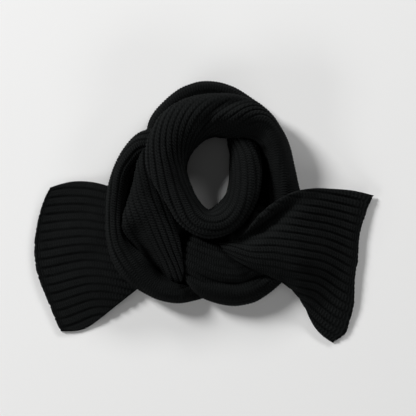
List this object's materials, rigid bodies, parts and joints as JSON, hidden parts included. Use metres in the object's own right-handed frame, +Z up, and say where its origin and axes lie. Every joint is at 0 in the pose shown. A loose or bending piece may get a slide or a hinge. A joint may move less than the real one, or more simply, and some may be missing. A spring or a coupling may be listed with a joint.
{
  "type": "knit scarf",
  "caption": "Chunky black rib-knit scarf laid flat in a double-wound ring with one front crossing, its two ends fanned out to the left and right.",
  "frame": {"origin": "middle of the scarf's outline seen from above, on the surface it lies on", "axes": "+Z up from that surface, +X towards the right-hand end, +Y from the crossing towards the back of the ring"},
  "size_m": [0.61, 0.4706, 0.073],
  "materials": {
    "black_rib_knit": "matte black chunky rib knit with a soft fuzz"
  },
  "bodies": {
    "root": {"left_end": "black_rib_knit", "right_end": "black_rib_knit", "crossing": "black_rib_knit", "left_rim": "black_rib_knit", "left_fall": "black_rib_knit", "back_turn": "black_rib_knit", "front_turn": "black_rib_knit", "hidden_layers": "black_rib_knit"}
  },
  "joints": []
}
